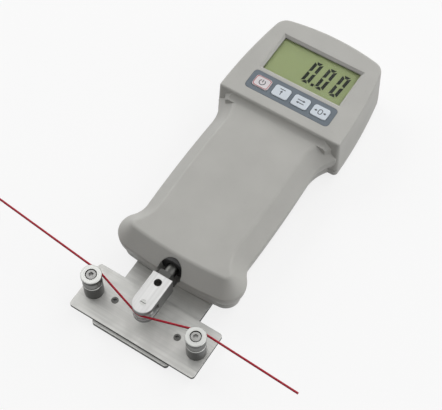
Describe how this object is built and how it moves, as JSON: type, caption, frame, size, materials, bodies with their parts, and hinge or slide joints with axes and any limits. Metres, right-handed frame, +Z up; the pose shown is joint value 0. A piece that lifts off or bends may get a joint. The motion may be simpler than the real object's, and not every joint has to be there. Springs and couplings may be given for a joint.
{
  "type": "force gauge",
  "caption": "Hand-held digital force gauge lying on a base plate, with a waisted grip, a raised display head, keys and a three-roller thread tension attachment.",
  "frame": {"origin": "underside of the base plate, under the middle of the part's length and width", "axes": "+Y from the rollers to the display end, +X to the right as the display is read, +Z up out of the display"},
  "size_m": [0.2312, 0.2415, 0.0371],
  "materials": {
    "casing_plastic": "warm light grey moulded plastic with a fine spark texture",
    "rear_plastic": "slightly lighter warm grey moulded plastic",
    "window_clear": "clear polished plastic window",
    "lcd_glass": "olive green reflective liquid crystal panel, dark segments",
    "frame_black": "black moulded plastic",
    "keypad_foil": "printed slate blue foil, satin",
    "key_white": "pale blue white embossed foil key",
    "key_power_white": "white embossed foil key with a red printed rim",
    "board_green": "green lacquered circuit board",
    "contact_metal": "nickel-plated spring steel",
    "battery_jacket": "plain dark wrapped cells",
    "screw_steel": "zinc-plated steel",
    "clevis_aluminium": "satin brushed aluminium",
    "roller_steel": "turned stainless steel",
    "plate_aluminium": "bead-blasted and brushed aluminium sheet",
    "cell_aluminium": "milled aluminium",
    "spindle_steel": "ground stainless steel",
    "insert_brass": "knurled brass",
    "seal_rubber": "black rubber",
    "thread_red": "tightly twisted dark red thread"
  },
  "bodies": {
    "gauge": {"front_shell": "casing_plastic", "rear_shell": "rear_plastic", "battery_door": "rear_plastic", "battery_door_screw": "screw_steel", "batteries": "battery_jacket", "battery_contacts": "contact_metal", "display_window": "window_clear", "lcd_panel": "lcd_glass", "lcd_frame": "frame_black", "main_board": "board_green", "board_screws": "screw_steel", "dome_switches": "contact_metal", "keypad_panel": "keypad_foil", "load_cell": "cell_aluminium", "load_cell_bracket": "cell_aluminium", "bracket_screws": "screw_steel", "load_cell_bolt": "screw_steel", "spindle_seal": "seal_rubber", "roller_spacers": "roller_steel", "guide_bushes": "roller_steel", "guide_screws": "screw_steel", "cross_plate": "plate_aluminium", "base_plate": "plate_aluminium", "plate_screws": "screw_steel", "mount_screws": "screw_steel", "threaded_inserts": "insert_brass", "casing_screws": "screw_steel", "test_thread": "thread_red", "thread_knot": "thread_red"},
    "spindle": {"measuring_spindle": "spindle_steel", "spindle_nut": "spindle_steel", "clevis_block": "clevis_aluminium", "roller_axle": "roller_steel"},
    "centre_roller": {"centre_roller": "roller_steel"},
    "guide_roller_left": {"guide_roller_left": "roller_steel"},
    "guide_roller_right": {"guide_roller_right": "roller_steel"},
    "key_power": {"key_power": "key_power_white"},
    "key_peak": {"key_peak": "key_white"},
    "key_unit": {"key_unit": "key_white"},
    "key_zero": {"key_zero": "key_white"}
  },
  "joints": [
    {"name": "spindle_slide", "type": "slide", "parent": "gauge", "child": "spindle", "axis": [0, 1, 0], "range_m": [-0.00025, 0.00025], "stiffness_N_per_m": 100000},
    {"name": "centre_roller_spin", "type": "hinge", "parent": "spindle", "child": "centre_roller", "pos_m": [0, -0.1029, 0.0215], "axis": [0, 0, 1], "continuous": true},
    {"name": "guide_roller_left_spin", "type": "hinge", "parent": "gauge", "child": "guide_roller_left", "pos_m": [-0.0367, -0.10355, 0.0215], "axis": [0, 0, 1], "continuous": true},
    {"name": "guide_roller_right_spin", "type": "hinge", "parent": "gauge", "child": "guide_roller_right", "pos_m": [0.0367, -0.10355, 0.0215], "axis": [0, 0, 1], "continuous": true},
    {"name": "key_power_press", "type": "slide", "parent": "gauge", "child": "key_power", "axis": [0, 0, -1], "range_m": [0, 0.0005], "stiffness_N_per_m": 6000, "springref_m": -0.0001},
    {"name": "key_peak_press", "type": "slide", "parent": "gauge", "child": "key_peak", "axis": [0, 0, -1], "range_m": [0, 0.0005], "stiffness_N_per_m": 6000, "springref_m": -0.0001},
    {"name": "key_unit_press", "type": "slide", "parent": "gauge", "child": "key_unit", "axis": [0, 0, -1], "range_m": [0, 0.0005], "stiffness_N_per_m": 6000, "springref_m": -0.0001},
    {"name": "key_zero_press", "type": "slide", "parent": "gauge", "child": "key_zero", "axis": [0, 0, -1], "range_m": [0, 0.0005], "stiffness_N_per_m": 6000, "springref_m": -0.0001}
  ]
}
